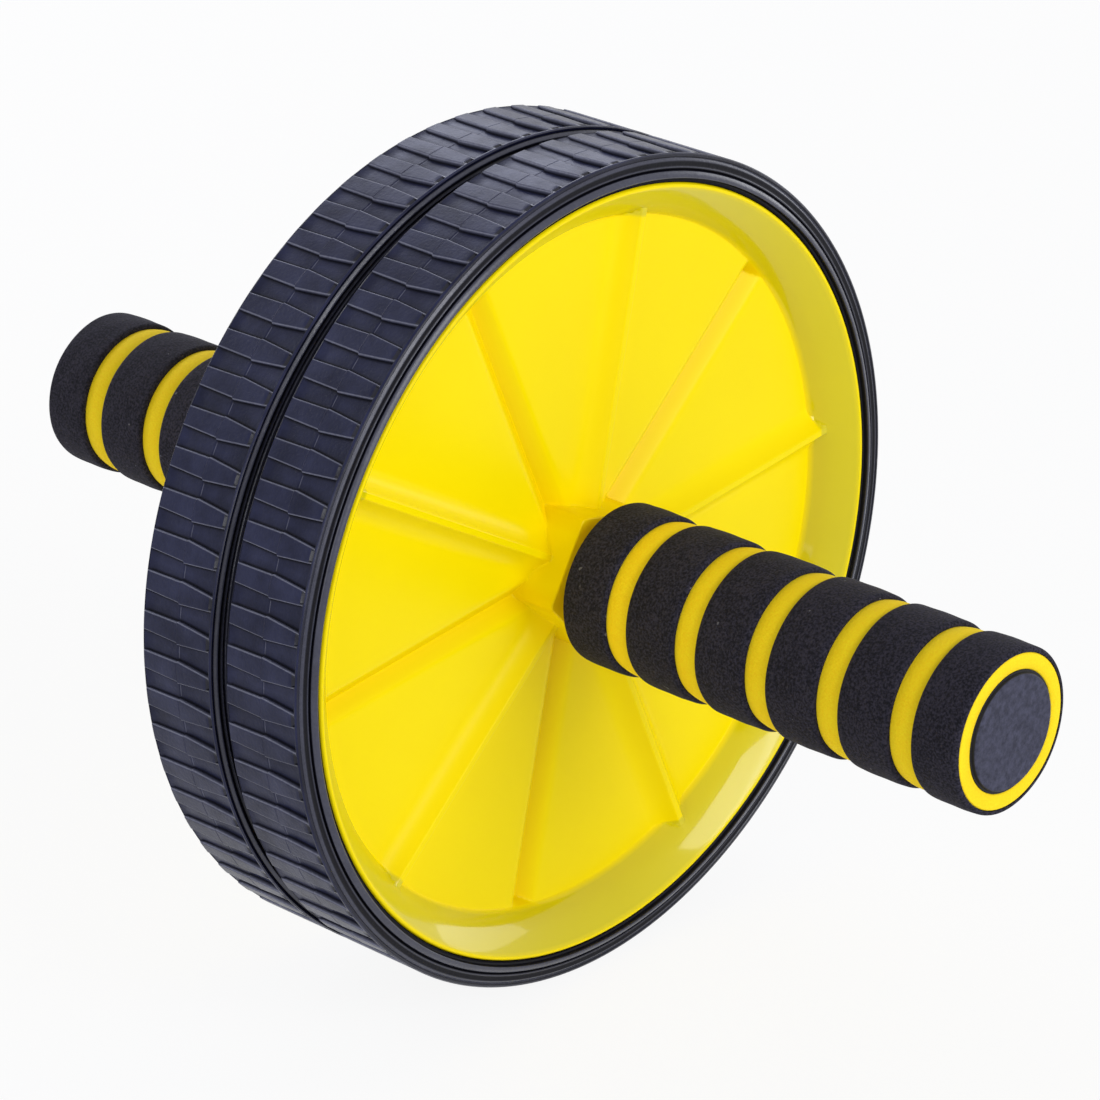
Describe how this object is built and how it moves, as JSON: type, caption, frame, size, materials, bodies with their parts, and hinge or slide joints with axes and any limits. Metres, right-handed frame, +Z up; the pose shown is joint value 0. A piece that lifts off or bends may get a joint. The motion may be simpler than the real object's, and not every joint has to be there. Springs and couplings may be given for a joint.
{
  "type": "ab wheel roller",
  "caption": "Exercise roller with tyred, ribbed wheels side by side on a steel rod and a banded foam grip at each end, rolled along the floor by hand.",
  "frame": {"origin": "centre of the rod, midway between the wheels", "axes": "+Y along the rod towards the left handle, +Z up, X the way it rolls"},
  "size_m": [0.18, 0.2588, 0.18],
  "materials": {
    "yellow_plastic": "glossy injection moulded",
    "tyre": "satin moulded tread",
    "black_foam": "fine grained closed cell foam",
    "yellow_foam": "fine grained closed cell foam",
    "black_plastic": "satin",
    "bearing_plastic": "smooth",
    "steel": "bright zinc"
  },
  "bodies": {
    "axle_and_handles": {"axle_rod": "steel", "centre_spacer": "bearing_plastic", "right_thrust_washer": "steel", "right_handle_core": "black_plastic", "right_grip_liner": "yellow_foam", "right_grip_band_1": "black_foam", "right_grip_band_2": "black_foam", "right_grip_band_3": "black_foam", "right_grip_band_4": "black_foam", "right_grip_band_5": "black_foam", "right_grip_band_6": "black_foam", "right_handle_washer": "steel", "right_handle_bolt": "steel", "right_end_cap": "black_plastic", "left_thrust_washer": "steel", "left_handle_core": "black_plastic", "left_grip_liner": "yellow_foam", "left_grip_band_1": "black_foam", "left_grip_band_2": "black_foam", "left_grip_band_3": "black_foam", "left_grip_band_4": "black_foam", "left_grip_band_5": "black_foam", "left_grip_band_6": "black_foam", "left_handle_washer": "steel", "left_handle_bolt": "steel", "left_end_cap": "black_plastic"},
    "right_wheel": {"right_wheel_disc": "yellow_plastic", "right_tyre": "tyre", "right_inner_bush": "bearing_plastic", "right_outer_bush": "bearing_plastic"},
    "left_wheel": {"left_wheel_disc": "yellow_plastic", "left_tyre": "tyre", "left_inner_bush": "bearing_plastic", "left_outer_bush": "bearing_plastic"}
  },
  "joints": [
    {"name": "right_wheel_spin", "type": "hinge", "parent": "axle_and_handles", "child": "right_wheel", "pos_m": [0, 0, 0], "axis": [0, 1, 0], "continuous": true},
    {"name": "left_wheel_spin", "type": "hinge", "parent": "axle_and_handles", "child": "left_wheel", "pos_m": [0, 0, 0], "axis": [0, 1, 0], "continuous": true}
  ]
}
